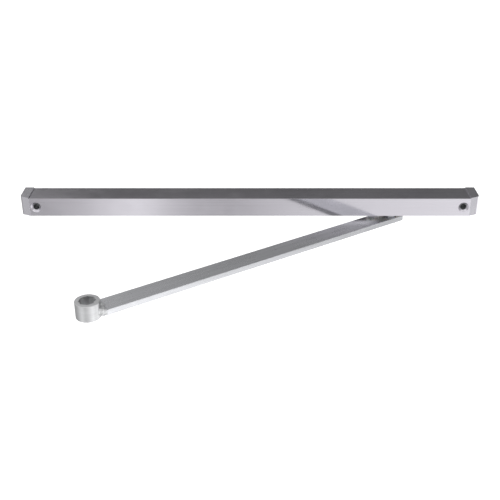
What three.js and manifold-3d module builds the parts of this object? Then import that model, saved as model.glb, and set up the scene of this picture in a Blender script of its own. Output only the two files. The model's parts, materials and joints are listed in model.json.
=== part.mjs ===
// Sliding track and swing arm of a surface-mounted door closer.
// Units are millimetres. +X runs along the rail, +Y points back to the wall, +Z is up.
// The origin is the centre of the rail's back face, which lies against the wall or frame.
import * as THREE from "three";
import { mergeVertices } from "three/addons/utils/BufferGeometryUtils.js";
import Module from "manifold-3d";

const wasm = await Module();
wasm.setup();

// ---- Driving dimensions ----
const TRACK_LENGTH = 440; // over both end caps
const RAIL_DEPTH = 26; // from the wall to the front face
const RAIL_HEIGHT = 18;
const WALL = 1.8; // front, back and roof of the extrusion
const LIP = 2; // thickness of the two lips beside the slot
const SLOT_WIDTH = 10;
const RAIL_CORNER = 0.3; // outer edge radius

const CAP_LENGTH = 9; // what shows of each end cap
const CAP_PROUD = 0.8; // the cap stands this much above the rail's roof
const CAP_CHAMFER = 4; // how far the front corner is cut back
const CAP_NOSE = 4; // radius between that chamfer and the end
const CAP_WALL = 1.8;
const SEAM = 0.2; // hairline gap between the rail and a cap
const FIT = 0.3; // gap between pieces that rest against each other

const FIXING_INSET = 15; // fixing hole's distance from the track's end
const SCREW_HOLE = 5.8; // through hole for the wall screw
const COUNTERSINK = 10; // mouth of the 90 degree countersink in the rail's front wall
const BACK_HOLE = 6.4;

const BLOCK_LENGTH = 20.2; // fixing block inside each end of the rail
const TONGUE = 1.5; // thickness of the cap's snap tongue, above the block
const BUFFER_LENGTH = 5.2;

const SHOE_LENGTH = 44;
const NECK_LENGTH = 24;
const NECK_WIDTH = 9.2;
const STUD = 8; // pivot stud's diameter
const STUD_HEAD = 12; // across the flats of its hexagon

const PIVOT_X = 137; // where the slide shoe stands along the rail
const ARM_ANGLE = 33.8; // degrees between the arm and the rail
const ARM_LENGTH = 319; // pivot centre to eye centre
const ARM_WIDTH = 18.8;
const ARM_THICKNESS = 5;
const ARM_DROP = 4.5; // from the rail's underside to the arm's top face
const EYE_DIAMETER = 20.5;
const EYE_RISE = 8; // how far the eye stands above the arm's top face
const EYE_DROP = 1.4; // and below its underside
const SPINDLE_SQUARE = 10.2; // side of each of the two squares that make the star socket
const LEAD_IN = 1.2; // how deep and how wide the cones are that guide the spindle in
const BAR_START = 11.9; // eye centre to the near end of the bar
const BAR_END = 9.5; // how far the bar's square-cut end runs past the pivot

// ---- Places that follow from them ----
const TOP = RAIL_HEIGHT / 2;
const BOTTOM = -TOP;
const FRONT = -RAIL_DEPTH;
const CENTRE_Y = FRONT / 2;
const ROOF = TOP - WALL; // inside of the channel
const FLOOR = BOTTOM + LIP; // top of the lips
const RAIL_HALF = TRACK_LENGTH / 2 - CAP_LENGTH;
const FIXING_X = TRACK_LENGTH / 2 - FIXING_INSET;
const BLOCK_OUTER = RAIL_HALF - 0.8;
const BLOCK_INNER = BLOCK_OUTER - BLOCK_LENGTH;
const BLOCK_TOP = ROOF - 0.2 - TONGUE - 0.2;
const BLOCK_FRONT = FRONT + WALL + FIT;
const BLOCK_BACK = -WALL - FIT;
const SET_SCREW_X = BLOCK_INNER + 8;
const BARB_X = SET_SCREW_X - 5; // the barb under the cap's tongue
const BUFFER_OUTER = BLOCK_INNER - FIT;
const BUFFER_INNER = BUFFER_OUTER - BUFFER_LENGTH;
const ARM_TOP = BOTTOM - ARM_DROP;
const ARM_BOTTOM = ARM_TOP - ARM_THICKNESS;
const NECK_BOTTOM = BOTTOM - 1;
const WASHER_BOTTOM = NECK_BOTTOM - 1.7;
const CLIP_TOP = ARM_BOTTOM - 1.3;

// ---- Finishes ----
const finish = (color, roughness, metalness) =>
  new THREE.MeshStandardMaterial({ color, roughness, metalness });
const anodised = finish(0xb9bac0, 0.32, 1);
const silverPlastic = finish(0xaeb0b5, 0.45, 0.3);
const dieCast = finish(0x8f9194, 0.5, 1);
const rubber = finish(0x1c1c1d, 0.85, 0);
const acetal = finish(0xe6e4dc, 0.45, 0);
const plainSteel = finish(0x9c9ea2, 0.3, 1);
const blackSteel = finish(0x2a2a2c, 0.45, 1);
const silverSteel = finish(0xa2a4a8, 0.42, 0.9);

// ---- Solids: three.js geometry in, three.js geometry out, with manifold-3d for cuts and joins ----
function solidOf(geometry) {
  const bare = geometry.index ? geometry.toNonIndexed() : geometry.clone();
  bare.deleteAttribute("normal");
  bare.deleteAttribute("uv");
  const merged = mergeVertices(bare, 1e-4);
  return new wasm.Manifold(
    new wasm.Mesh({
      numProp: 3,
      vertProperties: merged.attributes.position.array,
      triVerts: new Uint32Array(merged.index.array),
    }),
  );
}

function geometryOf(solid) {
  const mesh = solid.getMesh();
  const geometry = new THREE.BufferGeometry();
  geometry.setAttribute("position", new THREE.BufferAttribute(mesh.vertProperties, 3));
  geometry.setIndex(new THREE.BufferAttribute(mesh.triVerts, 1));
  geometry.computeVertexNormals();
  return geometry;
}

function join(...geometries) {
  return geometryOf(geometries.map(solidOf).reduce((a, b) => a.add(b)));
}

function cut(base, ...tools) {
  return geometryOf(tools.map(solidOf).reduce((a, b) => a.subtract(b), solidOf(base)));
}

// ---- Shapes ----
function block([x0, x1], [y0, y1], [z0, z1]) {
  const box = new THREE.BoxGeometry(x1 - x0, y1 - y0, z1 - z0);
  return box.translate((x0 + x1) / 2, (y0 + y1) / 2, (z0 + z1) / 2);
}

// An outline whose corners are [x, y] or [x, y, radius]
function outline(corners) {
  const shape = new THREE.Shape();
  corners.forEach(([x, y, radius = 0], i) => {
    const corner = new THREE.Vector2(x, y);
    const from = new THREE.Vector2(...corners.at(i - 1)).sub(corner).normalize();
    const to = new THREE.Vector2(...corners[(i + 1) % corners.length]).sub(corner).normalize();
    const half = Math.acos(THREE.MathUtils.clamp(from.dot(to), -1, 1)) / 2;
    const start = corner.clone().addScaledVector(from, radius / Math.tan(half));
    if (i === 0) shape.moveTo(start.x, start.y);
    else shape.lineTo(start.x, start.y);
    if (radius === 0) return;
    const end = corner.clone().addScaledVector(to, radius / Math.tan(half));
    const middle = from.clone().add(to).normalize();
    const centre = corner.clone().addScaledVector(middle, radius / Math.sin(half));
    const angle = (p) => Math.atan2(p.y - centre.y, p.x - centre.x);
    const clockwise = from.cross(to) > 0;
    shape.absarc(centre.x, centre.y, radius, angle(start), angle(end), clockwise);
  });
  return shape;
}

// A plan outline in X and Y, raised between two heights
function raise(shape, [z0, z1], curveSegments = 12) {
  const options = { depth: z1 - z0, bevelEnabled: false, curveSegments };
  return new THREE.ExtrudeGeometry(shape, options).translate(0, 0, z0);
}

// A section in Y and Z, drawn out along X
function drawAlongX(shape, [x0, x1], curveSegments = 5) {
  const turned = new THREE.Matrix4().makeBasis(
    new THREE.Vector3(0, 1, 0),
    new THREE.Vector3(0, 0, 1),
    new THREE.Vector3(1, 0, 0),
  );
  const options = { depth: x1 - x0, bevelEnabled: false, curveSegments };
  return new THREE.ExtrudeGeometry(shape, options).applyMatrix4(turned).translate(x0, 0, 0);
}

// A solid of revolution about Z from [radius, z] points that start and end on the axis, lowest first
function turnAboutZ(profile, segments = 40) {
  const points = profile.map(([r, z]) => new THREE.Vector2(r, z));
  return new THREE.LatheGeometry(points, segments).rotateX(Math.PI / 2);
}

// A ring about Z, from a closed section of [radius, z] points
function ringAboutZ(section, segments = 40) {
  return turnAboutZ([...section, section[0]], segments);
}

// Round bars: frontRadius is at the end nearer -Y
function barAlongY(x, z, frontRadius, backRadius, [y0, y1]) {
  const bar = new THREE.CylinderGeometry(backRadius, frontRadius, y1 - y0, 32);
  return bar.translate(x, (y0 + y1) / 2, z);
}

function barAlongZ(x, y, radius, [z0, z1], sides = 32) {
  const bar = new THREE.CylinderGeometry(radius, radius, z1 - z0, sides).rotateX(Math.PI / 2);
  return bar.translate(x, y, (z0 + z1) / 2);
}

function barAlongX(y, z, radius, [x0, x1]) {
  const bar = new THREE.CylinderGeometry(radius, radius, x1 - x0, 24).rotateZ(Math.PI / 2);
  return bar.translate((x0 + x1) / 2, y, z);
}

// ---- Rail: a C section with its slot in the underside, drilled for the two wall screws ----
function rail() {
  const slotFront = CENTRE_Y - SLOT_WIDTH / 2;
  const slotBack = CENTRE_Y + SLOT_WIDTH / 2;
  const section = outline([
    [slotFront, BOTTOM],
    [FRONT, BOTTOM, RAIL_CORNER],
    [FRONT, TOP, RAIL_CORNER],
    [0, TOP, RAIL_CORNER],
    [0, BOTTOM, RAIL_CORNER],
    [slotBack, BOTTOM],
    [slotBack, FLOOR],
    [-WALL, FLOOR],
    [-WALL, ROOF],
    [FRONT + WALL, ROOF],
    [FRONT + WALL, FLOOR],
    [slotFront, FLOOR],
  ]);
  const holes = [-FIXING_X, FIXING_X].flatMap((x) => [
    barAlongY(x, 0, COUNTERSINK / 2 + 1, COUNTERSINK / 2 - WALL - 1, [FRONT - 1, FRONT + WALL + 1]),
    barAlongY(x, 0, BACK_HOLE / 2, BACK_HOLE / 2, [-WALL - 1, 1]),
  ]);
  return cut(drawAlongX(section, [-RAIL_HALF, RAIL_HALF]), ...holes);
}

// ---- End cap: a moulded cup with a snap tongue that slides in under the rail's roof ----
function endCap() {
  const seam = RAIL_HALF + SEAM;
  const end = TRACK_LENGTH / 2;
  const shell = outline([
    [seam, FRONT],
    [end, FRONT + CAP_CHAMFER, CAP_NOSE],
    [end, 0, 0.4],
    [seam, 0],
  ]);
  const hollow = outline([
    [seam - 1, FRONT + CAP_WALL],
    [seam, FRONT + CAP_WALL],
    [end - CAP_WALL, FRONT + CAP_WALL + CAP_CHAMFER * 0.9, 3],
    [end - CAP_WALL, -CAP_WALL],
    [seam - 1, -CAP_WALL],
  ]);
  const cup = cut(
    raise(shell, [BOTTOM, TOP + CAP_PROUD]),
    raise(hollow, [BOTTOM + CAP_WALL, TOP - CAP_WALL]),
  );
  const tongueZ = [ROOF - 0.2 - TONGUE, ROOF - 0.2];
  const across = [CENTRE_Y - 8, CENTRE_Y + 8];
  const tongue = block([BARB_X - 1, end - CAP_WALL / 2], across, tongueZ);
  const barb = block([BARB_X, BARB_X + 1.6], across, [BLOCK_TOP - 0.7, tongueZ[1]]);
  return join(cup, tongue, barb);
}

// ---- Fixing block: fills the rail's end, so that the wall screw can't crush it ----
function fixingBlock() {
  const body = block([BLOCK_INNER, BLOCK_OUTER], [BLOCK_FRONT, BLOCK_BACK], [FLOOR + FIT, BLOCK_TOP]);
  const keelHalf = SLOT_WIDTH / 2 - FIT;
  const keel = block(
    [BLOCK_INNER, BLOCK_OUTER],
    [CENTRE_Y - keelHalf, CENTRE_Y + keelHalf],
    [BOTTOM + 0.3, FLOOR + 1],
  );
  const screwHole = barAlongY(FIXING_X, 0, SCREW_HOLE / 2, SCREW_HOLE / 2, [FRONT, 0]);
  const setScrewHole = barAlongZ(SET_SCREW_X, CENTRE_Y, 2.15, [BOTTOM, TOP], 24);
  const stemHole = barAlongX(CENTRE_Y, -0.5, 2.8, [BLOCK_INNER - 1, BLOCK_INNER + 4]);
  const barbGroove = block([BARB_X - FIT, BARB_X + 1.6 + FIT], [FRONT, 0], [BLOCK_TOP - 1, TOP]);
  return cut(join(body, keel), screwHole, setScrewHole, stemHole, barbGroove);
}

// ---- Set screw: cup point, hexagon socket in the end that faces the slot ----
function setScrew() {
  const low = BOTTOM + 0.8;
  const high = BLOCK_TOP + 0.05;
  const profile = [[0, low], [1.6, low], [1.95, low + 0.35], [1.95, high - 0.8], [1.2, high], [0, high]];
  const screw = turnAboutZ(profile, 24).translate(SET_SCREW_X, CENTRE_Y, 0);
  const socket = barAlongZ(SET_SCREW_X, CENTRE_Y, 1.15, [low - 1, low + 2.5], 6);
  return cut(screw, socket);
}

// ---- End buffer: two rubber lobes on a stem that plugs into the fixing block ----
function endBuffer() {
  const pad = block([BUFFER_INNER, BUFFER_OUTER], [FRONT + 4, -4], [FLOOR + 1, BLOCK_TOP - 0.6]);
  const valleyHalf = 4;
  const valley = outline([
    [BUFFER_INNER - 1, CENTRE_Y - valleyHalf],
    [BUFFER_INNER + 3, CENTRE_Y, 1.5],
    [BUFFER_INNER - 1, CENTRE_Y + valleyHalf],
  ]);
  const stem = barAlongX(CENTRE_Y, -0.5, 2.5, [BUFFER_OUTER - 1, BLOCK_INNER + 3]);
  return join(cut(pad, raise(valley, [FLOOR, TOP])), stem);
}

// ---- Slide shoe: runs in the channel, with its neck down through the slot ----
function slideShoe() {
  const half = SHOE_LENGTH / 2;
  const side = RAIL_DEPTH / 2 - WALL - 0.25;
  const body = outline([
    [-half, -side, 3],
    [half, -side, 3],
    [half, side, 3],
    [-half, side, 3],
  ]);
  const neckEnd = NECK_WIDTH / 2 - 0.1;
  const neck = outline([
    [-NECK_LENGTH / 2, -NECK_WIDTH / 2, neckEnd],
    [NECK_LENGTH / 2, -NECK_WIDTH / 2, neckEnd],
    [NECK_LENGTH / 2, NECK_WIDTH / 2, neckEnd],
    [-NECK_LENGTH / 2, NECK_WIDTH / 2, neckEnd],
  ]);
  const solid = join(
    raise(body, [FLOOR + 0.25, ROOF - 0.4], 5),
    raise(neck, [NECK_BOTTOM, FLOOR + 1], 6),
  );
  const tall = [BOTTOM - 5, TOP + 5];
  const grooves = [-1, 1].map((s) =>
    block([-half - 1, half + 1], [s * side - 0.8, s * side + 0.8], [-2.6, 2.6]),
  );
  const springSlots = [-1, 1].map((s) => {
    const x = s * (half - 4);
    return block([x - 0.7, x + 0.7], [-6.5, 6.5], tall);
  });
  const bore = barAlongZ(0, 0, STUD / 2 + 0.15, tall);
  const pocket = barAlongZ(0, 0, (STUD_HEAD / 2 + 0.25) / Math.cos(Math.PI / 6), [2.3, TOP], 6);
  return cut(solid, ...grooves, ...springSlots, bore, pocket);
}

// ---- Pivot stud: its hexagon head sits in the shoe, its shank carries the arm ----
function pivotStud() {
  const r = STUD / 2;
  const end = CLIP_TOP - 2.3;
  const shank = turnAboutZ([
    [0, end],
    [r - 0.7, end],
    [r, end + 0.7],
    [r, CLIP_TOP - 1.15],
    [r - 0.7, CLIP_TOP - 1.15],
    [r - 0.7, CLIP_TOP + 0.05],
    [r, CLIP_TOP + 0.05],
    [r, 3.5],
    [0, 3.5],
  ]);
  const head = barAlongZ(0, 0, STUD_HEAD / 2 / Math.cos(Math.PI / 6), [2.6, 6.4], 6);
  return join(shank, head);
}

// ---- Flanged bush pressed in the arm: its flange rides on the thrust washer ----
function pivotBush() {
  const bore = STUD / 2 + 0.1;
  return ringAboutZ([
    [bore, ARM_BOTTOM + 0.1],
    [5.4, ARM_BOTTOM + 0.1],
    [5.4, ARM_TOP + 0.15],
    [6.6, ARM_TOP + 0.15],
    [6.6, WASHER_BOTTOM - 0.15],
    [bore, WASHER_BOTTOM - 0.15],
  ]);
}

function thrustWasher() {
  const high = NECK_BOTTOM - 0.15;
  return ringAboutZ([[4.2, WASHER_BOTTOM], [6.8, WASHER_BOTTOM], [6.8, high], [4.2, high]]);
}

function retainingWasher() {
  const high = ARM_BOTTOM - 0.15;
  return ringAboutZ([[4.2, high - 1], [7.5, high - 1], [7.5, high], [4.2, high]]);
}

// ---- Circlip: an open ring in the stud's groove, with two drilled lugs ----
function circlip() {
  const inner = STUD / 2 - 0.5;
  const outer = STUD / 2 + 1.2;
  const opening = 0.42; // radians each side of the gap's centre line
  const lugRadius = 1.35;
  const lugAt = STUD / 2 + 0.75 + lugRadius * 0.4;
  const heights = [CLIP_TOP - 1.05, CLIP_TOP - 0.05];
  const ring = new THREE.Shape();
  ring.absarc(0, 0, outer, opening, 2 * Math.PI - opening, false);
  ring.absarc(0, 0, inner, 2 * Math.PI - opening, opening, true);
  const lugs = [-1, 1].map((s) => {
    const angle = s * (opening + 0.12);
    return [lugAt * Math.cos(angle), lugAt * Math.sin(angle)];
  });
  const gap = block([0, outer + 4], [-0.9, 0.9], [CLIP_TOP - 3, CLIP_TOP + 1]);
  const ears = lugs.map(([x, y]) => barAlongZ(x, y, lugRadius, heights, 16));
  const body = join(raise(ring, heights, 24), ...ears);
  const holes = lugs.map(([x, y]) => barAlongZ(x, y, 0.6, [CLIP_TOP - 3, CLIP_TOP + 1], 10));
  const core = barAlongZ(0, 0, inner, [CLIP_TOP - 3, CLIP_TOP + 1]);
  return cut(body, gap, core, ...holes);
}

// ---- Arm, in its own frame: the pivot at the origin, the eye at -X ----
function armBar() {
  const half = ARM_WIDTH / 2;
  const plan = outline([
    [BAR_START - ARM_LENGTH, -half],
    [BAR_END, -half, 1],
    [BAR_END, half, 1],
    [BAR_START - ARM_LENGTH, half],
  ]);
  const flat = raise(plan, [ARM_BOTTOM, ARM_TOP]);
  return cut(flat, barAlongZ(0, 0, 5.5, [ARM_BOTTOM - 1, ARM_TOP + 1], 40));
}

// The eye's socket is two equal squares, one turned 45 degrees on the other
function starSocket(heights) {
  const tip = SPINDLE_SQUARE / Math.SQRT2;
  const notch = SPINDLE_SQUARE / 2 / Math.cos(Math.PI / 8);
  const star = new THREE.Shape();
  for (let i = 0; i < 16; i++) {
    const radius = i % 2 ? tip : notch;
    const angle = (i * Math.PI) / 8;
    star[i ? "lineTo" : "moveTo"](radius * Math.cos(angle), radius * Math.sin(angle));
  }
  star.closePath();
  return raise(star, heights);
}

function armEye() {
  const r = EYE_DIAMETER / 2;
  const high = ARM_TOP + EYE_RISE;
  const low = ARM_BOTTOM - EYE_DROP;
  const edge = 0.4;
  const barrel = turnAboutZ([
    [0, low],
    [r - edge, low],
    [r, low + edge],
    [r, high - edge],
    [r - edge, high],
    [0, high],
  ], 72);
  const narrow = SPINDLE_SQUARE / 2;
  const wide = narrow + LEAD_IN;
  const topLead = turnAboutZ([
    [0, high - LEAD_IN],
    [narrow, high - LEAD_IN],
    [wide, high + 0.01],
    [0, high + 0.01],
  ]);
  const lowLead = turnAboutZ([
    [0, low - 0.01],
    [wide, low - 0.01],
    [narrow, low + LEAD_IN],
    [0, low + LEAD_IN],
  ]);
  return cut(barrel, starSocket([low - 1, high + 1]), topLead, lowLead);
}

// ---- Weld: fills the corners between the round eye and the bar's end, and climbs the eye's wall ----
function eyeWeld() {
  const half = ARM_WIDTH / 2 - 0.2;
  const barEnd = BAR_START - 0.1;
  const clear = EYE_DIAMETER / 2 + 0.1;
  const leg = 3.2; // the fillet's foot on the bar and its height up the eye
  const filler = block([4.6, barEnd], [-half, half], [ARM_BOTTOM + 0.6, ARM_TOP]);
  const bead = ringAboutZ([
    [clear - 1, ARM_TOP + 0.1],
    [clear + leg, ARM_TOP + 0.1],
    [clear + leg * 0.75, ARM_TOP + 0.9],
    [clear + leg * 0.3, ARM_TOP + leg * 0.65],
    [clear, ARM_TOP + leg],
    [clear - 1, ARM_TOP + leg],
  ], 72);
  const fromBar = block([4.6, 40], [-half, half], [ARM_BOTTOM - 1, TOP]);
  const beadOnBar = geometryOf(solidOf(bead).intersect(solidOf(fromBar)));
  const link = block([clear, barEnd], [-half + 2.5, half - 2.5], [ARM_TOP - 1, ARM_TOP + 0.3]);
  const eye = barAlongZ(0, 0, clear, [ARM_BOTTOM - 2, TOP], 72);
  return cut(join(filler, link, beadOnBar), eye);
}

// ---- Assembly ----
function piece(name, geometry, material) {
  const mesh = new THREE.Mesh(geometry, material);
  mesh.name = name;
  return mesh;
}

// The left end is the right end seen in a mirror: reflected in X, with its faces turned back out
function mirrored(geometry) {
  const solid = solidOf(geometry).mirror([1, 0, 0]);
  return geometryOf(solid);
}

const track = new THREE.Group();
track.add(piece("rail_profile", rail(), anodised));
const endPieces = [
  ["end_cap", endCap(), silverPlastic],
  ["fixing_block", fixingBlock(), dieCast],
  ["set_screw", setScrew(), blackSteel],
  ["end_buffer", endBuffer(), rubber],
];
for (const [name, geometry, material] of endPieces) {
  track.add(piece(`${name}_right`, geometry, material));
  track.add(piece(`${name}_left`, mirrored(geometry), material));
}

const slider = new THREE.Group();
slider.position.set(PIVOT_X, CENTRE_Y, 0);
slider.add(
  piece("slide_shoe", slideShoe(), acetal),
  piece("pivot_stud", pivotStud(), plainSteel),
  piece("thrust_washer", thrustWasher(), acetal),
  piece("retaining_washer", retainingWasher(), plainSteel),
  piece("pivot_circlip", circlip(), blackSteel),
);

const arm = new THREE.Group();
arm.position.copy(slider.position);
arm.rotation.z = THREE.MathUtils.degToRad(ARM_ANGLE);
arm.add(piece("arm_bar", armBar(), silverSteel), piece("pivot_bush", pivotBush(), plainSteel));
const eyeEnd = new THREE.Group();
eyeEnd.position.x = -ARM_LENGTH;
eyeEnd.add(piece("arm_eye", armEye(), silverSteel), piece("eye_weld", eyeWeld(), silverSteel));
arm.add(eyeEnd);

const closerTrack = new THREE.Group();
closerTrack.add(track, slider, arm);

export default closerTrack;
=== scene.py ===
# %% [markdown]
# # A door closer's slide track and arm
# This lesson dresses a finished mechanical model. The frame holds every part at its real size and place,
# so each visible piece is built round the frame's own boxes, or on a copy of the frame's own mesh, in
# metres. +X runs along the rail, +Y goes back into the wall and +Z is up.

# %% Load the frame
import json
import math
import bmesh
import bpy
from mathutils import Matrix, Vector, noise


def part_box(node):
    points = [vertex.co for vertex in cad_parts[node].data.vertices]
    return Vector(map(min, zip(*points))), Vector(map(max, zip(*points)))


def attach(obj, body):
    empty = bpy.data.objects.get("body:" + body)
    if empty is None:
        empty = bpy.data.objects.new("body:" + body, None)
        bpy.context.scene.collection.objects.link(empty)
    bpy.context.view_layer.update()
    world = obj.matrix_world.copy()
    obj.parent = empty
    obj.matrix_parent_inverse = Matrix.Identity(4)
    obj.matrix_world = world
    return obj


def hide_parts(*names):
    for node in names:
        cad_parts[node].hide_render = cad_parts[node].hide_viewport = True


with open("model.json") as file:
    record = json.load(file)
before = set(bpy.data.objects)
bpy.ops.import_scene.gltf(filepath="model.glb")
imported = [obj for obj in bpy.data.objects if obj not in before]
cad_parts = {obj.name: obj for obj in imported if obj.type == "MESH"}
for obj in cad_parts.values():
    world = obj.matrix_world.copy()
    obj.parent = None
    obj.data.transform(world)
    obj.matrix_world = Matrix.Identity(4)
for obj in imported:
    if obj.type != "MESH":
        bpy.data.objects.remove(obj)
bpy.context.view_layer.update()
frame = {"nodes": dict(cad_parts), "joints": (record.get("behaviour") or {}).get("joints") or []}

MM = 0.001

# %% [markdown]
# ## Places on the object
# Three places set everything else: the rail's box, the pivot's axis and the middle of the eye. The arm
# lies at an angle, so its pieces are built flat along X with the eye at the origin and then turned into
# place with one matrix.

# %% Find the rail, the pivot and the eye
rail_low, rail_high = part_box("rail_profile")
eye_low, eye_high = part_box("arm_eye")
pivot_joint = next(j for j in frame["joints"] if j["name"] == "arm_pivot")
pivot = Vector(pivot_joint["pos_m"])
eye_centre = (eye_low + eye_high) / 2
eye_centre.z = 0
reach = Vector((pivot.x, pivot.y, 0)) - eye_centre
arm_turn = math.atan2(reach.y, reach.x)
arm_place = Matrix.Translation(eye_centre) @ Matrix.Rotation(arm_turn, 4, "Z")
print(f"arm: {reach.length / MM:.1f} mm between centres, {math.degrees(arm_turn):.1f} degrees off the rail")

# %% [markdown]
# ## Tools for making pieces
# Real edges are never perfectly sharp: a drawn, cast or sheared edge has a small radius that catches the
# light. `soften` bevels every edge that turns through more than a given angle, and marks the new faces in
# a face attribute called "edge", which the metals later read as wear. `mark_cut` marks chosen faces that
# a drill or a broach has left, in an attribute called "cut". A weighted-normal modifier keeps the flats
# flat.

# %% Helpers that round, mark and finish
def soften(bm, radius, segments=3, angle=32, where=None):
    """Rounds the sharp edges of a bmesh and marks the rounded faces."""
    mark = bm.faces.layers.float.get("edge") or bm.faces.layers.float.new("edge")
    limit = math.radians(angle)
    sharp = [e for e in bm.edges if len(e.link_faces) == 2 and e.calc_face_angle(0) > limit]
    if where:
        sharp = [e for e in sharp if where(e)]
    made = bmesh.ops.bevel(bm, geom=sharp, offset=radius, offset_type="OFFSET", segments=segments,
                           profile=0.5, affect="EDGES", material=-1, clamp_overlap=True)
    for face in made["faces"]:
        face[mark] = 1.0


def mark_cut(bm, is_cut):
    """Marks the faces that a tool left; is_cut is asked with each face's middle and normal."""
    mark = bm.faces.layers.float.new("cut")
    for face in bm.faces:
        face[mark] = float(is_cut(face.calc_center_median(), face.normal))


def finish_piece(name, bm, body, slot, *nodes, crease=40):
    """Turns a bmesh into a shown piece that rides on a body and stands for CAD nodes."""
    for label in ("edge", "cut"):
        if not bm.faces.layers.float.get(label):
            bm.faces.layers.float.new(label)
    mesh = bpy.data.meshes.new(name)
    bm.to_mesh(mesh)
    bm.free()
    mesh.shade_smooth()
    mesh.set_sharp_from_angle(angle=math.radians(crease))
    piece = bpy.data.objects.new(name, mesh)
    bpy.context.collection.objects.link(piece)
    weigh = piece.modifiers.new("keep flats flat", "WEIGHTED_NORMAL")
    weigh.keep_sharp = True
    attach(piece, body)
    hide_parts(*nodes)
    print(f"{name}: {len(mesh.polygons)} faces")
    return piece

# %% [markdown]
# A screw hole or a socket is made as a workshop makes it, by taking metal away. Boolean and Remesh are
# modifiers, so `with_modifier` puts a bmesh into an object for a moment, lets one modifier work on it,
# and reads the result back. Drills and broaches start a little outside the metal, by CLEAR, so that none
# of their faces lies in the metal's own.

# %% Helpers that shape
CLEAR = 1 * MM


def as_object(bm, name="tool"):
    mesh = bpy.data.meshes.new(name)
    bm.to_mesh(mesh)
    bm.free()
    thing = bpy.data.objects.new(name, mesh)
    bpy.context.collection.objects.link(thing)
    return thing


def with_modifier(bm, kind, tool=None, **settings):
    """Runs one modifier on a bmesh and gives the result back as a bmesh."""
    thing = as_object(bm)
    modifier = thing.modifiers.new(kind, kind)
    for key, value in settings.items():
        setattr(modifier, key, value)
    cutter = as_object(tool) if tool else None
    if cutter:
        modifier.object = cutter
    result = bmesh.new()
    result.from_object(thing, bpy.context.evaluated_depsgraph_get())
    for used in filter(None, (thing, cutter)):
        bpy.data.objects.remove(used)
    return result


def carve(bm, tool):
    return with_modifier(bm, "BOOLEAN", tool, operation="DIFFERENCE", solver="EXACT")


def prism(outline, depth):
    """A flat outline of points, drawn out along a vector."""
    bm = bmesh.new()
    face = bm.faces.new([bm.verts.new(p) for p in outline])
    drawn = bmesh.ops.extrude_face_region(bm, geom=[face])
    moved = [v for v in drawn["geom"] if isinstance(v, bmesh.types.BMVert)]
    bmesh.ops.translate(bm, vec=depth, verts=moved)
    bmesh.ops.recalc_face_normals(bm, faces=bm.faces)
    return bm


def turned(profile, steps=96):
    """A solid of revolution about Z from (radius, height) points that start and end on the axis."""
    bm = bmesh.new()
    points = [bm.verts.new((r, 0, z)) for r, z in profile]
    edges = [bm.edges.new(pair) for pair in zip(points, points[1:])]
    bmesh.ops.spin(bm, geom=points + edges, cent=(0, 0, 0), axis=(0, 0, 1), angle=math.tau,
                   steps=steps, use_merge=True)
    bmesh.ops.remove_doubles(bm, verts=bm.verts, dist=1e-6)
    bmesh.ops.recalc_face_normals(bm, faces=bm.faces)
    return bm


def rod(radius, start, end, segments=64, far_radius=None):
    """A cutter: a round bar, or a cone, between two points."""
    start, end = Vector(start), Vector(end)
    bm = bmesh.new()
    far = radius if far_radius is None else far_radius
    bmesh.ops.create_cone(bm, cap_ends=True, segments=segments, radius1=radius, radius2=far,
                          depth=(end - start).length)
    turn = (end - start).to_track_quat("Z", "Y").to_matrix().to_4x4()
    bmesh.ops.transform(bm, matrix=Matrix.Translation((start + end) / 2) @ turn, verts=bm.verts)
    return bm


def copy_of(node):
    """A frame node's mesh with its loose triangles merged and its flats made whole."""
    bm = bmesh.new()
    bm.from_mesh(frame["nodes"][node].data)
    bmesh.ops.remove_doubles(bm, verts=bm.verts, dist=2e-6)
    bmesh.ops.dissolve_limit(bm, angle_limit=math.radians(0.5), verts=bm.verts, edges=bm.edges)
    return bm


def near(a, b):
    return abs(a - b) < 1e-6

# %% [markdown]
# ## Effects that the finishes share
# Each effect is one shader node group, built once and used by many materials with their own values.
# - *drawn grain*: fine lines that run one way, as drawing, rolling or turning leaves them. It is noise
#   that is stretched by a vector, with a coarser noise added so that some bands of lines are stronger
#   than others.
# - *handling*: broad, soft changes in gloss where oil and hands have been, with a few finer smudges.
# - *edge wear*: the marked edges, broken up by noise, where a finish is thin and the metal brighter.
# - *speckle*: the fine pits and grains of a casting, a moulding or a coat of paint.

# %% Shader helpers
def put(tree, kind, inputs=None, **settings):
    """Adds a node; an input given as a socket is linked, and any other is set."""
    made = tree.nodes.new(kind)
    for key, value in settings.items():
        setattr(made, key, value)
    for socket, value in (inputs or {}).items():
        if isinstance(value, bpy.types.NodeSocket):
            tree.links.new(value, made.inputs[socket])
        else:
            made.inputs[socket].default_value = value
    return made


def group(name, inputs, outputs):
    """An empty shader group with named sockets, and its two end nodes."""
    tree = bpy.data.node_groups.new(name, "ShaderNodeTree")
    kinds = {float: "NodeSocketFloat", tuple: "NodeSocketVector"}
    for label, value in inputs.items():
        socket = tree.interface.new_socket(label, in_out="INPUT", socket_type=kinds[type(value)])
        socket.default_value = value
    for label in outputs:
        tree.interface.new_socket(label, in_out="OUTPUT", socket_type="NodeSocketFloat")
    return tree, tree.nodes.new("NodeGroupInput"), tree.nodes.new("NodeGroupOutput")


def math_node(tree, operation, a, b, c=None, clamp=False):
    values = {0: a, 1: b} if c is None else {0: a, 1: b, 2: c}
    return put(tree, "ShaderNodeMath", values, operation=operation, use_clamp=clamp).outputs[0]


def span(tree, value, low, high):
    """Rises smoothly from 0 to 1 while a value goes from low to high."""
    return put(tree, "ShaderNodeMapRange", {0: value, 1: low, 2: high},
               interpolation_type="SMOOTHSTEP").outputs[0]


def weighed(tree, first, share, second, other_share):
    """Two patterns added, each with its own share."""
    return math_node(tree, "ADD", math_node(tree, "MULTIPLY", first.outputs[0], share),
                     math_node(tree, "MULTIPLY", second.outputs[0], other_share))

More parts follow.
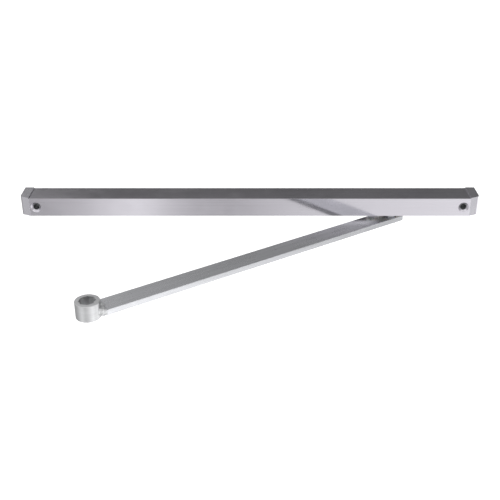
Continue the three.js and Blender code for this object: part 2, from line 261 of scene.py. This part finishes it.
# %% The drawn grain group
grain, start, end = group("drawn grain", {"Vector": (0.0, 0.0, 0.0), "Stretch": (30.0, 4000.0, 4000.0)},
                          ["Lines", "Height"])
COARSER = (0.45, 0.22, 0.22)
stretched = put(grain, "ShaderNodeVectorMath", {0: start.outputs["Vector"], 1: start.outputs["Stretch"]},
                operation="MULTIPLY").outputs[0]
fine = put(grain, "ShaderNodeTexNoise", {"Vector": stretched, "Scale": 1.0, "Detail": 4.0, "Roughness": 0.7})
coarse = put(grain, "ShaderNodeVectorMath", {0: stretched, 1: COARSER}, operation="MULTIPLY").outputs[0]
broad = put(grain, "ShaderNodeTexNoise", {"Vector": coarse, "Scale": 1.0, "Detail": 2.0})
lines = weighed(grain, fine, 0.6, broad, 0.4)
grain.links.new(span(grain, lines, 0.32, 0.68), end.inputs["Lines"])
grain.links.new(lines, end.inputs["Height"])

# %% The handling group
handling, start, end = group("handling", {"Vector": (0.0, 0.0, 0.0), "Size": 18.0}, ["Smudge"])
FINER = 7.0
place, size = start.outputs["Vector"], start.outputs["Size"]
broad = put(handling, "ShaderNodeTexNoise",
            {"Vector": place, "Scale": size, "Detail": 3.0, "Distortion": 0.6})
finer_size = math_node(handling, "MULTIPLY", size, FINER)
finer = put(handling, "ShaderNodeTexNoise", {"Vector": place, "Scale": finer_size, "Detail": 5.0})
both = weighed(handling, broad, 0.7, finer, 0.3)
handling.links.new(span(handling, both, 0.35, 0.65), end.inputs["Smudge"])

# %% The edge wear group
wear, start, end = group("edge wear", {"Vector": (0.0, 0.0, 0.0), "Amount": 0.6}, ["Worn"])
PATCHES_PER_METRE = 160.0
edge = put(wear, "ShaderNodeAttribute", attribute_name="edge")
patches = put(wear, "ShaderNodeTexNoise",
              {"Vector": start.outputs["Vector"], "Scale": PATCHES_PER_METRE, "Detail": 6.0})
broken = math_node(wear, "MULTIPLY", edge.outputs["Fac"], span(wear, patches.outputs[0], 0.35, 0.6))
wear.links.new(math_node(wear, "MULTIPLY", broken, start.outputs["Amount"]), end.inputs["Worn"])

# %% The speckle group
speckle, start, end = group("speckle", {"Vector": (0.0, 0.0, 0.0), "Size": 900.0}, ["Grains"])
place, size = start.outputs["Vector"], start.outputs["Size"]
cells = put(speckle, "ShaderNodeTexVoronoi", {"Vector": place, "Scale": size})
bumps = put(speckle, "ShaderNodeTexNoise", {"Vector": place, "Scale": size, "Detail": 3.0})
half_cells = math_node(speckle, "MULTIPLY", cells.outputs[0], 0.5)
speckle.links.new(math_node(speckle, "ADD", half_cells, bumps.outputs[0]), end.inputs["Grains"])
print("effects:", [g.name for g in bpy.data.node_groups])

# %% [markdown]
# ## The finishes
# One recipe serves every hard finish here, because they differ in amounts and not in kind: a base colour
# that the grain darkens and lightens a little, a roughness that handling changes, brighter worn edges,
# and a bump from grain and speckle. Faces marked as cut can be lighter, as a drilled wall's bare tone, or
# darker, as painted shade in a recess, and rougher, than the rest. What is the same all over a surface is
# set straight on the Principled shader. Patterns read Object coordinates, turned with a Mapping node where
# the piece lies at an angle.
#
# `lean` is for the rail alone. A bump that rises with height tilts the shading of upright faces by so
# many degrees, so that they mirror a strip of the room a little further down. The faces themselves stay
# upright.

# %% A recipe for hard finishes
GRAINS_MEAN = 0.7
WORN_GAIN = 1.18
LINE_DEPTH = 0.04 * MM
GRAIN_DEPTH = 0.1 * MM


def finish(name, colour, roughness, metallic=1.0, stretch=(12.0, 2600.0, 2600.0), turn=0.0, centre=(0, 0, 0),
           grain_shade=0.1, grain_bump=0.15, smudge=0.08, smudge_size=18.0, worn=0.5, worn_colour=None,
           speckle_size=900.0, speckle_bump=0.05, speckle_shade=0.04, lean=0.0, cut_tone_and_painted_shade=1.0, cut_rough=0.0,
           **shader_values):
    """One hard finish: cut_tone_and_painted_shade scales the colour of cut faces, paler for a drilled wall's
    bare tone or darker for painted shade inside a socket, and cut_rough adds to their roughness.
    """
    material = bpy.data.materials.new(name)
    material.use_nodes = True
    tree = material.node_tree
    shader = tree.nodes["Principled BSDF"]
    shader.inputs["Metallic"].default_value = metallic
    for socket, value in shader_values.items():
        shader.inputs[socket.replace("_", " ")].default_value = value

    where = put(tree, "ShaderNodeTexCoord").outputs["Object"]
    local = put(tree, "ShaderNodeMapping", {"Vector": where, "Location": centre, "Rotation": (0, 0, turn)},
                vector_type="TEXTURE").outputs[0]
    drawn = put(tree, "ShaderNodeGroup", node_tree=grain)
    drawn.inputs["Stretch"].default_value = stretch
    hands = put(tree, "ShaderNodeGroup", node_tree=handling)
    hands.inputs["Size"].default_value = smudge_size
    edges = put(tree, "ShaderNodeGroup", node_tree=wear)
    edges.inputs["Amount"].default_value = worn
    grains = put(tree, "ShaderNodeGroup", node_tree=speckle)
    grains.inputs["Size"].default_value = speckle_size
    for effect in (drawn, hands, edges, grains):
        tree.links.new(local, effect.inputs["Vector"])
    cut = put(tree, "ShaderNodeAttribute", attribute_name="cut").outputs["Fac"]

    line_shade = math_node(tree, "MULTIPLY_ADD", drawn.outputs["Lines"], grain_shade, 1 - grain_shade / 2)
    spot_shade = math_node(tree, "MULTIPLY_ADD", grains.outputs["Grains"], speckle_shade,
                           -speckle_shade * GRAINS_MEAN)
    shade = math_node(tree, "ADD", line_shade, spot_shade)
    shade = math_node(tree, "MULTIPLY", shade, math_node(tree, "MULTIPLY_ADD", cut, cut_tone_and_painted_shade - 1, 1.0))
    tinted = put(tree, "ShaderNodeVectorMath", {0: colour, 3: shade}, operation="SCALE").outputs[0]
    bright = (*(worn_colour or [min(1, c * WORN_GAIN) for c in colour]), 1)
    mixed = put(tree, "ShaderNodeMix", {"Factor": edges.outputs["Worn"], "A": tinted, "B": bright},
                data_type="RGBA")
    tree.links.new(mixed.outputs["Result"], shader.inputs["Base Color"])

    rough = math_node(tree, "MULTIPLY_ADD", hands.outputs["Smudge"], smudge, roughness - smudge / 2)
    rough = math_node(tree, "MULTIPLY_ADD", cut, cut_rough, rough)
    rough = math_node(tree, "MULTIPLY_ADD", drawn.outputs["Lines"], smudge * 0.5, rough, clamp=True)
    tree.links.new(rough, shader.inputs["Roughness"])

    low = put(tree, "ShaderNodeBump",
              {"Strength": grain_bump, "Distance": LINE_DEPTH, "Height": drawn.outputs["Height"]})
    if lean:
        rise = put(tree, "ShaderNodeSeparateXYZ", {0: where}).outputs["Z"]
        tilt = math.tan(math.radians(lean))
        slope = put(tree, "ShaderNodeBump", {"Strength": 1.0, "Distance": tilt, "Height": rise})
        tree.links.new(slope.outputs[0], low.inputs["Normal"])
    high = put(tree, "ShaderNodeBump", {"Strength": speckle_bump, "Distance": GRAIN_DEPTH,
                                        "Height": grains.outputs["Grains"], "Normal": low.outputs[0]})
    tree.links.new(high.outputs[0], shader.inputs["Normal"])
    return material


# %% [markdown]
# ### Aluminium, plastic, zinc and rubber
# The rail is drawn aluminium, satin anodised: its grain runs along X and its reflections stretch across
# the grain. The wall of a countersunk hole keeps the drill's rougher, paler surface. The caps are moulded
# plastic with a silver coat, so they have no grain, only a soft speckle. The blocks are cast zinc.

# %% Rail and end finishes
rail_metal = finish("satin anodised aluminium", (0.60, 0.582, 0.628), 0.12, stretch=(9.0, 3200.0, 3200.0),
                    grain_shade=0.07, grain_bump=0.22, smudge=0.05, smudge_size=14.0, worn=0.5,
                    speckle_bump=0.02, speckle_shade=0.02, lean=4.5, cut_tone_and_painted_shade=1.1, cut_rough=0.25)
cap_plastic = finish("silver coated plastic", (0.58, 0.57, 0.61), 0.16, metallic=0.95,
                     stretch=(60.0, 60.0, 60.0), grain_shade=0.04, grain_bump=0.02, smudge=0.06, worn=0.25,
                     speckle_size=2600.0, speckle_bump=0.1, speckle_shade=0.05)
zinc = finish("die cast zinc", (0.42, 0.43, 0.44), 0.42, stretch=(500.0, 500.0, 500.0), grain_shade=0.18,
              grain_bump=0.3, smudge=0.16, worn=0.6, speckle_size=1500.0, speckle_bump=0.35,
              speckle_shade=0.12)
rubber = finish("black rubber", (0.018, 0.018, 0.019), 0.72, metallic=0.0, stretch=(300.0, 300.0, 300.0),
                grain_shade=0.3, smudge=0.15, worn=0.3, worn_colour=(0.06, 0.06, 0.06), speckle_size=3000.0,
                speckle_bump=0.5, speckle_shade=0.2)

# %% [markdown]
# ### Steel and acetal
# The arm is flat steel with a satin silver coat: its grain follows the arm, so the pattern is turned with
# it. The eye was turned on a lathe before it was coated, so its grain is in level rings, and the walls of
# its broached socket are painted a little darker, as painted shade inside the socket. The weld lies under
# the same coat, but its surface is coarser.

# %% Arm and pivot finishes
along_arm = {"turn": arm_turn, "centre": eye_centre}
arm_metal = finish("satin silver on rolled steel", (0.54, 0.545, 0.566), 0.24, metallic=0.9, **along_arm,
                   stretch=(22.0, 1500.0, 1500.0), grain_shade=0.16, grain_bump=0.25, smudge=0.1,
                   smudge_size=30.0, worn=0.55, speckle_size=1400.0, speckle_bump=0.05, speckle_shade=0.05)
# The eye's cut faces are its socket walls: the 0.88 for cut faces darkens them as painted shade in the
# socket.
eye_metal = finish("satin silver on turned steel", (0.61, 0.615, 0.625), 0.37, metallic=0.9, **along_arm,
                   stretch=(60.0, 60.0, 3500.0), grain_shade=0.12, grain_bump=0.25, smudge=0.08,
                   smudge_size=60.0, worn=0.6, speckle_size=1600.0, speckle_bump=0.1, speckle_shade=0.08,
                   cut_tone_and_painted_shade=0.88)
weld_metal = finish("satin silver on weld", (0.68, 0.685, 0.695), 0.4, metallic=0.8, **along_arm,
                    stretch=(400.0, 400.0, 400.0), grain_shade=0.2, grain_bump=0.4, smudge=0.14,
                    smudge_size=150.0, worn=0.0, speckle_size=1800.0, speckle_bump=0.22, speckle_shade=0.16)
plated_steel = finish("bright plated steel", (0.60, 0.61, 0.63), 0.24, stretch=(80.0, 80.0, 3000.0),
                      grain_shade=0.1, smudge=0.08, worn=0.5, speckle_bump=0.05)
black_steel = finish("oiled black steel", (0.05, 0.05, 0.054), 0.36, stretch=(900.0, 900.0, 900.0),
                     grain_shade=0.25, smudge=0.16, worn=0.8, worn_colour=(0.24, 0.24, 0.25),
                     speckle_bump=0.15)
acetal = finish("white acetal", (0.78, 0.77, 0.72), 0.38, metallic=0.0, stretch=(200.0, 200.0, 200.0),
                grain_shade=0.05, grain_bump=0.05, smudge=0.12, worn=0.4, worn_colour=(0.86, 0.85, 0.82),
                speckle_size=2000.0, speckle_bump=0.08, Subsurface_Weight=0.15, Subsurface_Scale=0.002)
print(len(bpy.data.materials), "materials")


def coat(piece, material):
    piece.data.materials.clear()
    piece.data.materials.append(material)

# %% [markdown]
# ## The rail
# On the real object this is one aluminium extrusion: a C section with its slot underneath. So it is made
# as a press would make it, a flat section drawn out to length. It is drawn a little too long at each end,
# to close the hairline gap that the frame keeps between the rail and its caps. The four long outer
# corners get a die's radius.

# %% Draw the rail
WALL = 1.8 * MM
LIP = 2 * MM
SLOT = 10 * MM
SEAM = 0.2 * MM
DIE_RADIUS = 0.12 * MM
front, back = rail_low.y, rail_high.y
bottom, top = rail_low.z, rail_high.z
middle = (front + back) / 2
section = [
    (middle - SLOT / 2, bottom), (front, bottom), (front, top), (back, top), (back, bottom),
    (middle + SLOT / 2, bottom), (middle + SLOT / 2, bottom + LIP), (back - WALL, bottom + LIP),
    (back - WALL, top - WALL), (front + WALL, top - WALL), (front + WALL, bottom + LIP),
    (middle - SLOT / 2, bottom + LIP),
]
rail = prism([(rail_low.x - SEAM, y, z) for y, z in section], (rail_high.x - rail_low.x + 2 * SEAM, 0, 0))


def is_outer_corner(edge):
    """True for the four long edges between the rail's outer faces."""
    first, last = (v.co for v in edge.verts)
    runs_along = near(first.y, last.y) and near(first.z, last.z)
    at_face = near(first.y, front) or near(first.y, back)
    return runs_along and at_face and (near(first.z, bottom) or near(first.z, top))


soften(rail, DIE_RADIUS, segments=3, where=is_outer_corner)

# %% [markdown]
# Each wall screw goes through a countersunk hole in the front wall and a plain one in the back wall. The
# countersink's sides stand at 45 degrees, so its cutter narrows by as much as it goes in. Every edge that
# is still sharp then loses a little, less than the die's radius.

# %% Drill and round the rail
FIXING_X = 205 * MM
SINK_START = 6 * MM
SINK_END = 2.5 * MM
SINK_DEPTH = 2.5 * MM
SCREW_HOLE = 3.2 * MM
CUT_EDGE = 0.1 * MM
for x in (-FIXING_X, FIXING_X):
    sink = rod(SINK_START, (x, front - CLEAR, 0), (x, front + SINK_DEPTH, 0), segments=96,
               far_radius=SINK_END)
    rail = carve(rail, sink)
    rail = carve(rail, rod(SCREW_HOLE, (x, back - WALL - CLEAR, 0), (x, back + 10 * CLEAR, 0)))
soften(rail, CUT_EDGE, segments=2, angle=50)


def in_countersink(at, normal):
    just_inside = front + 0.02 * MM
    return just_inside < at.y < front + WALL and abs(abs(at.x) - FIXING_X) < SINK_START


mark_cut(rail, in_countersink)
coat(finish_piece("rail", rail, "rail", "anodised_rail", "rail_profile"), rail_metal)

# %% [markdown]
# ## The ends of the rail
# Each end has a moulded cap, a cast block behind the screw hole, a set screw and a rubber buffer. Their
# shapes in the frame are right but made of sharp facets, so each one is copied, merged and given the
# radius that its own way of making leaves: large on moulded rubber, medium on the cap and the casting,
# small on a screw.

# %% Caps, blocks, screws and buffers
MOULDED_EDGE = 0.15 * MM
CAST_EDGE = 0.15 * MM
SCREW_EDGE = 0.08 * MM
RUBBER_EDGE = 0.5 * MM
for side in ("left", "right"):
    cap = copy_of(f"end_cap_{side}")
    soften(cap, MOULDED_EDGE, segments=3, angle=50)
    coat(finish_piece(f"cap_{side}", cap, "rail", "silver_plastic", f"end_cap_{side}"), cap_plastic)
    cast = copy_of(f"fixing_block_{side}")
    soften(cast, CAST_EDGE, segments=2, angle=30)
    coat(finish_piece(f"block_{side}", cast, "rail", "die_cast_zinc", f"fixing_block_{side}"), zinc)
    screw = copy_of(f"set_screw_{side}")
    soften(screw, SCREW_EDGE, segments=2)
    coat(finish_piece(f"grub_screw_{side}", screw, "rail", "black_steel", f"set_screw_{side}"), black_steel)
    buffer = copy_of(f"end_buffer_{side}")
    soften(buffer, RUBBER_EDGE, segments=4, angle=40)
    coat(finish_piece(f"buffer_{side}", buffer, "rail", "black_rubber", f"end_buffer_{side}"), rubber)

# %% [markdown]
# ## The shoe and the pivot
# These run inside the rail or hang under it, and show from below. They take the same treatment, with
# radii in millimetres for moulded acetal, turned steel and stamped steel.

# %% Shoe, stud, washers, circlip and bush
running_pieces = [
    ("shoe", "slider", "white_acetal", "slide_shoe", acetal, 0.3),
    ("stud", "slider", "plated_steel", "pivot_stud", plated_steel, 0.15),
    ("spacer", "slider", "white_acetal", "thrust_washer", acetal, 0.15),
    ("washer", "slider", "plated_steel", "retaining_washer", plated_steel, 0.15),
    ("circlip", "slider", "black_steel", "pivot_circlip", black_steel, 0.1),
    ("bush", "arm", "plated_steel", "pivot_bush", plated_steel, 0.15),
]
for name, body, slot, node, material, edge_radius in running_pieces:
    copied = copy_of(node)
    soften(copied, edge_radius * MM, segments=3, angle=35)
    coat(finish_piece(name, copied, body, slot, node), material)

# %% [markdown]
# ## The arm's bar
# A length of rolled flat steel, sheared square at the pivot end. Rolled flat has slightly rounded long
# edges. It is drawn as a plan and given its thickness, and its two far corners are eased. Then the pivot
# hole is bored and all the edges are rounded. BAR_START is measured from the eye's middle and BAR_END
# from the pivot's.

# %% Bar
bar_low, bar_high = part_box("arm_bar")
BAR_WIDTH = 18.8 * MM
BAR_START = 11.9 * MM
BAR_END = 9.5 * MM
END_CORNER = 1 * MM
PIVOT_HOLE = 5.5 * MM
ROLLED_EDGE = 0.5 * MM
half = BAR_WIDTH / 2
far_end = reach.length + BAR_END
plan = [(BAR_START, -half), (far_end, -half), (far_end, half), (BAR_START, half)]
bar = prism([(x, y, bar_low.z) for x, y in plan], (0, 0, bar_high.z - bar_low.z))


def is_end_corner(edge):
    """True for the two upright edges at the pivot end."""
    first, last = (v.co for v in edge.verts)
    return near(first.x, last.x) and near(first.y, last.y) and first.x > reach.length


soften(bar, END_CORNER, segments=6, where=is_end_corner)
bore = rod(PIVOT_HOLE, (reach.length, 0, bar_low.z - CLEAR), (reach.length, 0, bar_high.z + CLEAR))
bar = carve(bar, bore)
soften(bar, ROLLED_EDGE, segments=4, angle=50)
bmesh.ops.transform(bar, matrix=arm_place, verts=bar.verts)
coat(finish_piece("bar", bar, "arm", "silver_arm", "arm_bar"), arm_metal)

# %% [markdown]
# ## The eye
# A turned ring with a broached star socket. The ring is spun from its profile. The star is two squares,
# one turned by 45 degrees, cut right through, and a shallow cone at each face gives the lead-in that
# guides the spindle. The first square's corner stands 22.5 degrees off the arm.

# %% Spin the eye and broach its socket
TURNED_EDGE = 0.4 * MM
SQUARE = 10.2 * MM
STAR_TURN = 22.5
radius = (eye_high.x - eye_low.x) / 2
low, high = eye_low.z, eye_high.z
eye = turned([(0, low), (radius, low), (radius, high), (0, high)])
soften(eye, TURNED_EDGE, segments=4, angle=60)
half_diagonal = SQUARE / math.sqrt(2)
for turn in (STAR_TURN, STAR_TURN + 45):
    corners = [math.radians(turn + 90 * k) for k in range(4)]
    outline = [(half_diagonal * math.cos(a), half_diagonal * math.sin(a), low - CLEAR) for a in corners]
    eye = carve(eye, prism(outline, (0, 0, high - low + 2 * CLEAR)))

# %% Cut the lead-ins and ease the socket's edges
LEAD_DEPTH = 0.8 * MM
LEAD_WIDTH = 1.5 * MM
BROACHED_EDGE = 0.12 * MM
SOCKET_SHARE = 0.8
lead = SQUARE / 2 + LEAD_WIDTH
for face, inward in ((high, -1), (low, 1)):
    bottom_of_lead = face + inward * LEAD_DEPTH
    cone = rod(lead, (0, 0, face), (0, 0, bottom_of_lead), segments=96, far_radius=lead - LEAD_WIDTH)
    eye = carve(eye, cone)


def in_socket(edge):
    return max(v.co.xy.length for v in edge.verts) < radius * SOCKET_SHARE


def is_broached(at, normal):
    """True for the star's upright faces; its points reach out to 0.71 of the square's side."""
    return at.xy.length < SQUARE * 0.75 and abs(normal.z) < 0.1


soften(eye, BROACHED_EDGE, segments=2, angle=25, where=in_socket)
# The marked socket walls get painted shade: the eye's finish darkens them as shade inside the socket.
mark_cut(eye, is_broached)
bmesh.ops.transform(eye, matrix=arm_place, verts=eye.verts)
coat(finish_piece("eye", eye, "arm", "silver_arm", "arm_eye", crease=30), eye_metal)

# %% [markdown]
# ## The weld
# A weld is metal that has flowed: no sharp edges, and a rhythm of ripples where the pool froze step by
# step. It starts as the frame's solid, is turned into small even cells by a voxel remesh, and is relaxed.
# Then each point moves out or in a little, by an even swell, by ripples across the seam and by noise.
# Beside the eye the metal was wettest, so there it is also drawn in, into the eye's wall, and no gap
# shows between them. The amounts are in millimetres, and LUMPS pairs each noise's fineness with its
# height.

# %% Melt the bead
CELL = 0.3 * MM
SWELL = 0.35
RIPPLE, RIPPLE_FINENESS, RIPPLE_SLANT = 0.14, 2.6, 0.5
LUMPS = ((0.4, 0.75), (1.1, 0.3))
WET_REACH = 1.6 * MM
WET_PULL = 1.5
ABOVE_UNDERSIDE = 0.2 * MM
bead = with_modifier(copy_of("eye_weld"), "REMESH", mode="VOXEL", voxel_size=CELL)
for _ in range(2):
    bmesh.ops.smooth_vert(bead, verts=bead.verts, factor=0.6,
                          use_axis_x=True, use_axis_y=True, use_axis_z=True)
bead.normal_update()
to_flat = arm_place.inverted()
shifts = []
for v in bead.verts:
    place = to_flat @ v.co
    ripple = math.sin(place.y / MM * RIPPLE_FINENESS + RIPPLE_SLANT * place.x / MM) * RIPPLE
    lumps = sum(noise.noise(place / MM * fineness) * rise for fineness, rise in LUMPS)
    from_eye = place.xy.length - radius
    wet = max(0, 1 - max(0, from_eye) / WET_REACH)
    inward = arm_place.to_3x3() @ Vector((-place.x, -place.y, 0)).normalized()
    shifts.append((v, (v.normal * (SWELL + ripple + lumps) + inward * wet * WET_PULL) * MM))
for v, shift in shifts:
    v.co += shift
weld_floor = bar_low.z + ABOVE_UNDERSIDE
for v in bead.verts:
    v.co.z = max(v.co.z, weld_floor)
coat(finish_piece("weld", bead, "arm", "silver_arm", "eye_weld", crease=180), weld_metal)

# %% [markdown]
# ## The studio
# Bare metal shows its surroundings more than its own colour, so the room is what makes it read as metal.
# Nearly all the light comes from the room, and one weak softbox overhead adds a soft top light.
#
# The floor is only there for the camera: it gives off some light of its own, the pieces neither mirror it
# nor are lit by it, and from below it is clear, so that the rail's slot can be looked into.

# %% Floor
FLOOR_LEVEL = -0.35
FLOOR_REACH = 8
sheet = bmesh.new()
bmesh.ops.create_grid(sheet, x_segments=1, y_segments=1, size=FLOOR_REACH)
bmesh.ops.translate(sheet, vec=(0, 0, FLOOR_LEVEL), verts=sheet.verts)
floor = as_object(sheet, "studio_floor")
floor_material = bpy.data.materials.new("pale floor")
floor_material.use_nodes = True
tree = floor_material.node_tree
paint = tree.nodes["Principled BSDF"]
paint.inputs["Base Color"].default_value = (0.9, 0.9, 0.9, 1)
paint.inputs["Roughness"].default_value = 0.9
paint.inputs["Emission Color"].default_value = (1, 1, 1, 1)
paint.inputs["Emission Strength"].default_value = 0.6
clear = put(tree, "ShaderNodeBsdfTransparent")
from_below = put(tree, "ShaderNodeNewGeometry").outputs["Backfacing"]
either = put(tree, "ShaderNodeMixShader", {0: from_below, 1: paint.outputs[0], 2: clear.outputs[0]})
tree.links.new(either.outputs[0], tree.nodes["Material Output"].inputs["Surface"])
floor.data.materials.append(floor_material)
floor.visible_glossy = False
floor.visible_diffuse = False

# %% [markdown]
# The room is described by direction alone. `across` is -1 on the left and 1 on the right, `depth` is -1
# in front of the rail and 1 behind it, and `height` is -1 straight down and 1 overhead. `cards` sets soft
# light and dark cards side by side, and `blend` passes from one set to the next, where 0 is all of the
# first.

# %% Helpers for the room
BRIGHTEST = 4.0
world = bpy.data.worlds.new("studio room")
bpy.context.scene.world = world
world.use_nodes = True
tree = world.node_tree
tree.nodes.clear()
direction = put(tree, "ShaderNodeTexCoord").outputs["Generated"]
across, depth, height = put(tree, "ShaderNodeSeparateXYZ", {0: direction}).outputs


def blend(factor, a, b):
    return put(tree, "ShaderNodeMix", {0: factor, 2: a, 3: b}, data_type="FLOAT").outputs[0]


def cards(*stops):
    """Cards from left to right, each given as (place across the room, brightness)."""
    ramp = put(tree, "ShaderNodeValToRGB", {0: math_node(tree, "MULTIPLY_ADD", across, 0.5, 0.5)})
    ramp.color_ramp.interpolation = "EASE"
    while len(ramp.color_ramp.elements) < len(stops):
        ramp.color_ramp.elements.new(0.5)
    for element, (place, level) in zip(ramp.color_ramp.elements, stops):
        element.position = place / 2 + 0.5
        element.color = (level / BRIGHTEST, level / BRIGHTEST, level / BRIGHTEST, 1)
    return math_node(tree, "MULTIPLY", ramp.outputs[0], BRIGHTEST)

# %% [markdown]
# Above the rail's level, a dark wall stands behind the rail, and the roof of the rail mirrors it. Over
# that wall is a lighter one, brighter to the left, which the arm's top mirrors. The wall in front is grey
# low down and bright above, under a dimmer ceiling. Each pair of numbers in capitals is the band in which
# one passes into the next.

# %% Walls and ceiling
FRONT_TO_BACK = (-0.2, 0.2)
DARK_WALL_TOP = (0.415, 0.45)
GREY_WALL_TOP = (0.3, 0.52)
CEILING = (0.62, 0.9)
to_back = span(tree, depth, *FRONT_TO_BACK)
back_wall = cards((-0.27, 0.38), (-0.25, 0.23), (-0.225, 0.16), (-0.18, 0.14), (0.27, 0.14))
back_upper = cards((-0.4, 0.85), (-0.2, 0.78), (-0.165, 0.66), (-0.12, 0.54), (-0.07, 0.48), (-0.01, 0.42),
                   (0.05, 0.36), (0.09, 0.33), (0.3, 0.3))
back_high = blend(span(tree, height, *DARK_WALL_TOP), back_wall, back_upper)
front_high = blend(span(tree, height, *GREY_WALL_TOP), 0.5, 1.45)
over = blend(span(tree, height, *CEILING), front_high, 0.62)
above = blend(to_back, over, back_high)

# %% [markdown]
# Below the rail's level, the floor in front is what the rail's front mirrors. Near the rail it carries
# cards of many levels, which give a long plain face its slow changes from light to dark. Further off it
# is plainer, and behind the rail it is brightest to the right.

# %% Floor cards, and the whole room
NEAR_TO_FAR = (-0.5, -0.43)
HORIZON = (-0.25, 0.1)
front_floor = cards((-0.88, 0.5), (-0.72, 1.15), (-0.6, 1.5), (-0.38, 1.3), (-0.27, 0.56), (-0.235, 0.54),
                    (-0.2, 0.73), (-0.17, 1.05), (-0.138, 1.26), (-0.118, 1.18), (-0.105, 0.92),
                    (-0.075, 0.7), (-0.036, 0.58), (0.0, 0.66), (0.03, 0.87), (0.06, 0.94), (0.15, 1.07),
                    (0.3, 1.25), (0.5, 1.6), (0.7, 2.5), (0.78, 1.55), (0.88, 1.1))
front_far = cards((-0.6, 0.75), (-0.3, 0.72), (0.0, 0.95), (0.6, 1.2), (0.75, 1.2), (0.88, 0.8))
back_floor = cards((-0.9, 0.42), (-0.7, 0.5), (-0.5, 0.5), (-0.2, 0.6), (0.0, 1.1), (0.15, 1.3), (0.4, 1.0),
                   (0.68, 1.0), (0.82, 1.8))
front_low = blend(span(tree, height, *NEAR_TO_FAR), front_floor, front_far)
below = blend(to_back, front_low, back_floor)
room = blend(span(tree, height, *HORIZON), below, above)
lit = put(tree, "ShaderNodeBackground", {"Color": (1, 1, 1, 1), "Strength": room})
plain = put(tree, "ShaderNodeBackground", {"Color": (1, 1, 1, 1), "Strength": 1.1})
seen = put(tree, "ShaderNodeLightPath").outputs["Is Camera Ray"]
shown = put(tree, "ShaderNodeMixShader", {0: seen, 1: lit.outputs[0], 2: plain.outputs[0]})
tree.links.new(shown.outputs[0], put(tree, "ShaderNodeOutputWorld").inputs["Surface"])
print("room:", len(tree.nodes), "nodes")

# %% [markdown]
# A lamp points along its own -Z, so the softbox is turned by a quaternion that tracks from its place to
# its aim.

# %% Softbox
lamp = bpy.data.lights.new("overhead softbox", "AREA")
lamp.shape = "RECTANGLE"
lamp.size, lamp.size_y = 1.6, 1.0
lamp.energy = 4
softbox = bpy.data.objects.new("overhead softbox", lamp)
softbox_place, softbox_aim = Vector((0, -0.1, 1.5)), Vector((0, -0.1, 0))
softbox.location = softbox_place
softbox.rotation_euler = (softbox_aim - softbox_place).to_track_quat("-Z", "Y").to_euler()
bpy.context.collection.objects.link(softbox)
print(f"softbox: {lamp.energy:.0f} W")

# %% [markdown]
# ## The camera
# A moderately long lens from above and in front, square on to the rail, so the rail lies level and its
# two faces are both seen.

# %% Camera
LOOKS_DOWN = 27.42
lens = bpy.data.cameras.new("camera")
lens.lens = 60.24
lens.sensor_width = 36
camera = bpy.data.objects.new("camera", lens)
camera.location = (0.0002, -0.7568, 0.3331)
camera.rotation_euler = (math.radians(90 - LOOKS_DOWN), 0, 0)
bpy.context.collection.objects.link(camera)
scene = bpy.context.scene
scene.camera = camera
scene.view_settings.view_transform = "Standard"
print(f"camera: {lens.lens:.1f} mm lens, looking {LOOKS_DOWN} degrees down")
